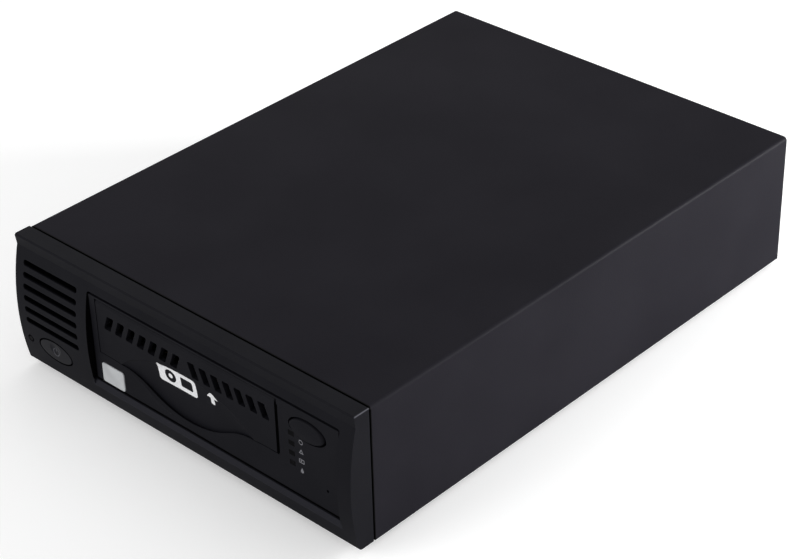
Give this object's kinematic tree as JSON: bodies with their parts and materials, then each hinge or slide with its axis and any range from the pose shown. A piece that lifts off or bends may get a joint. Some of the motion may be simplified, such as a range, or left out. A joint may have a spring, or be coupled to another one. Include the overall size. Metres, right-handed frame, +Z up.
{
  "type": "data tape drive",
  "caption": "External desktop data tape drive: low black steel case, moulded bezel with air slots, and a cartridge door over a half-height drive that holds loading, threading and reel parts.",
  "frame": {"origin": "middle of the part's bounding box in plan, on the surface the feet stand on", "axes": "+X to the right seen from the front, +Y from the front bezel to the rear panel, +Z up"},
  "size_m": [0.2046, 0.2951, 0.0692],
  "materials": {
    "case_black": "fine textured powder coat, satin black",
    "bezel_black": "moulded, fine spark texture, near black",
    "button_black": "moulded, smooth satin",
    "light_lens": "smoked lens",
    "steel_plate": "zinc plated sheet",
    "steel_pin": "ground bar",
    "screw_steel": "zinc plated",
    "foot_rubber": "moulded, matt",
    "inner_plastic": "moulded, glass filled",
    "gear_plastic": "moulded acetal, natural",
    "board_green": "solder resist over glass laminate",
    "connector_steel": "nickel plated shell",
    "motor_steel": "drawn and turned can",
    "reel_plastic": "moulded",
    "heatsink_metal": "extruded",
    "winding": "taped coil on laminations",
    "capacitor_sleeve": "shrink sleeve",
    "cable_grey": "flexible vinyl",
    "drum_white": "moulded",
    "ferrite": "ground sintered block"
  },
  "bodies": {
    "case": {"base_chassis": "case_black", "top_cover": "case_black", "front_bezel": "bezel_black", "rubber_feet": "foot_rubber", "cover_screws": "screw_steel", "power_light_pipe": "light_lens", "power_switch": "inner_plastic", "switch_bracket": "steel_plate", "drive_bezel": "bezel_black", "door_hinge_pin": "steel_pin", "eject_switch": "inner_plastic", "status_light_pipes": "light_lens", "front_board": "board_green", "drive_rails": "steel_plate", "drive_frame": "steel_plate", "drive_lid": "steel_plate", "load_motor": "motor_steel", "deck_plate": "steel_plate", "logic_board": "board_green", "supply_motor": "motor_steel", "take_up_motor": "motor_steel", "head_stepper": "motor_steel", "threader_motor": "motor_steel", "mains_inlet": "button_black", "fan_frame": "button_black", "fan_guard": "steel_plate", "rear_panel_screws": "screw_steel", "scsi_port_lower": "connector_steel", "scsi_port_upper": "connector_steel", "port_inserts": "button_black", "port_standoffs": "screw_steel", "id_switch_body": "button_black", "power_supply_bracket": "steel_plate", "power_supply_board": "board_green", "power_transformer": "winding", "power_capacitors": "capacitor_sleeve", "power_heatsink": "heatsink_metal", "power_loom": "cable_grey", "scsi_ribbon": "cable_grey"},
    "power_button": {"power_button": "button_black"},
    "cartridge_door": {"cartridge_door": "bezel_black"},
    "eject_button": {"eject_button": "button_black"},
    "cartridge_tray": {"cartridge_tray": "steel_plate"},
    "load_gear": {"load_gear": "gear_plastic"},
    "load_pinion": {"load_pinion": "gear_plastic"},
    "supply_hub": {"supply_hub": "gear_plastic"},
    "take_up_reel": {"take_up_reel": "reel_plastic"},
    "guide_roller_1": {"guide_roller_1": "steel_pin"},
    "guide_roller_2": {"guide_roller_2": "steel_pin"},
    "guide_roller_3": {"guide_roller_3": "steel_pin"},
    "guide_roller_4": {"guide_roller_4": "steel_pin"},
    "head_carriage": {"head_carriage": "inner_plastic", "tape_head": "ferrite"},
    "head_leadscrew": {"head_leadscrew": "steel_pin"},
    "threader_arm": {"threader_arm": "inner_plastic"},
    "threader_pinion": {"threader_pinion": "gear_plastic"},
    "fan_rotor": {"fan_rotor": "button_black"},
    "id_number_drum": {"id_number_drum": "drum_white"},
    "id_plus_button": {"id_plus_button": "button_black"},
    "id_minus_button": {"id_minus_button": "button_black"}
  },
  "joints": [
    {"name": "power_button_press", "type": "slide", "parent": "case", "child": "power_button", "axis": [0, 1, 0], "range_m": [0, 0.0025], "stiffness_N_per_m": 600},
    {"name": "door_swing", "type": "hinge", "parent": "case", "child": "cartridge_door", "pos_m": [0.0041, -0.1429, 0.0559], "axis": [1, 0, 0], "range_deg": [0, 90], "stiffness_Nm_per_rad": 0.002},
    {"name": "eject_button_press", "type": "slide", "parent": "case", "child": "eject_button", "axis": [0, 1, 0], "range_m": [0, 0.0008], "stiffness_N_per_m": 1500},
    {"name": "tray_load", "type": "slide", "parent": "case", "child": "cartridge_tray", "axis": [0, 0.9829, -0.1843], "range_m": [0, 0.01627]},
    {"name": "load_gear_turn", "type": "hinge", "parent": "case", "child": "load_gear", "pos_m": [0.0676, -0.075, 0.0245], "axis": [0, 0, 1], "range_deg": [-153, 0]},
    {"name": "load_pinion_turn", "type": "hinge", "parent": "case", "child": "load_pinion", "pos_m": [0.08174, -0.08914, 0.0245], "axis": [0, 0, 1], "range_deg": [0, 612]},
    {"name": "supply_hub_spin", "type": "hinge", "parent": "case", "child": "supply_hub", "pos_m": [0.0041, -0.082, 0.0275], "axis": [0, 0, 1], "continuous": true},
    {"name": "take_up_reel_spin", "type": "hinge", "parent": "case", "child": "take_up_reel", "pos_m": [0.0434, 0.0124, 0.0335], "axis": [0, 0, 1], "continuous": true},
    {"name": "guide_roller_1_spin", "type": "hinge", "parent": "case", "child": "guide_roller_1", "pos_m": [-0.03583, -0.00731, 0.0395], "axis": [0, 0, 1], "continuous": true},
    {"name": "guide_roller_2_spin", "type": "hinge", "parent": "case", "child": "guide_roller_2", "pos_m": [-0.03318, 0.023, 0.0395], "axis": [0, 0, 1], "continuous": true},
    {"name": "guide_roller_3_spin", "type": "hinge", "parent": "case", "child": "guide_roller_3", "pos_m": [-0.01549, 0.03838, 0.0395], "axis": [0, 0, 1], "continuous": true},
    {"name": "guide_roller_4_spin", "type": "hinge", "parent": "case", "child": "guide_roller_4", "pos_m": [0.00912, 0.03924, 0.0395], "axis": [0, 0, 1], "continuous": true},
    {"name": "head_lift", "type": "slide", "parent": "case", "child": "head_carriage", "axis": [0, 0, 1], "range_m": [-0.005, 0.005]},
    {"name": "head_leadscrew_turn", "type": "hinge", "parent": "case", "child": "head_leadscrew", "pos_m": [-0.0032, 0.0286, 0.0335], "axis": [0, 0, 1], "range_deg": [-901, 901]},
    {"name": "threader_swing", "type": "hinge", "parent": "case", "child": "threader_arm", "pos_m": [-0.002, 0.005, 0.0505], "axis": [0, 0, 1], "range_deg": [-207.74, 0]},
    {"name": "threader_pinion_turn", "type": "hinge", "parent": "case", "child": "threader_pinion", "pos_m": [-0.01412, 0.012, 0.0505], "axis": [0, 0, 1], "range_deg": [0, 520]},
    {"name": "fan_spin", "type": "hinge", "parent": "case", "child": "fan_rotor", "pos_m": [-0.079, 0.13, 0.0375], "axis": [0, 1, 0], "continuous": true},
    {"name": "id_drum_turn", "type": "hinge", "parent": "case", "child": "id_number_drum", "pos_m": [0.086, 0.1381, 0.0375], "axis": [1, 0, 0], "continuous": true},
    {"name": "id_plus_press", "type": "slide", "parent": "case", "child": "id_plus_button", "axis": [0, -1, 0], "range_m": [0, 0.001], "stiffness_N_per_m": 1000},
    {"name": "id_minus_press", "type": "slide", "parent": "case", "child": "id_minus_button", "axis": [0, -1, 0], "range_m": [0, 0.001], "stiffness_N_per_m": 1000}
  ],
  "couplings": [
    {"joint": "load_gear_turn", "follows": "tray_load", "rad_per_m": -163.81},
    {"joint": "load_pinion_turn", "follows": "tray_load", "rad_per_m": 655.25},
    {"joint": "head_leadscrew_turn", "follows": "head_lift", "rad_per_m": 3141.6},
    {"joint": "threader_pinion_turn", "follows": "threader_swing", "ratio": -2.5}
  ]
}
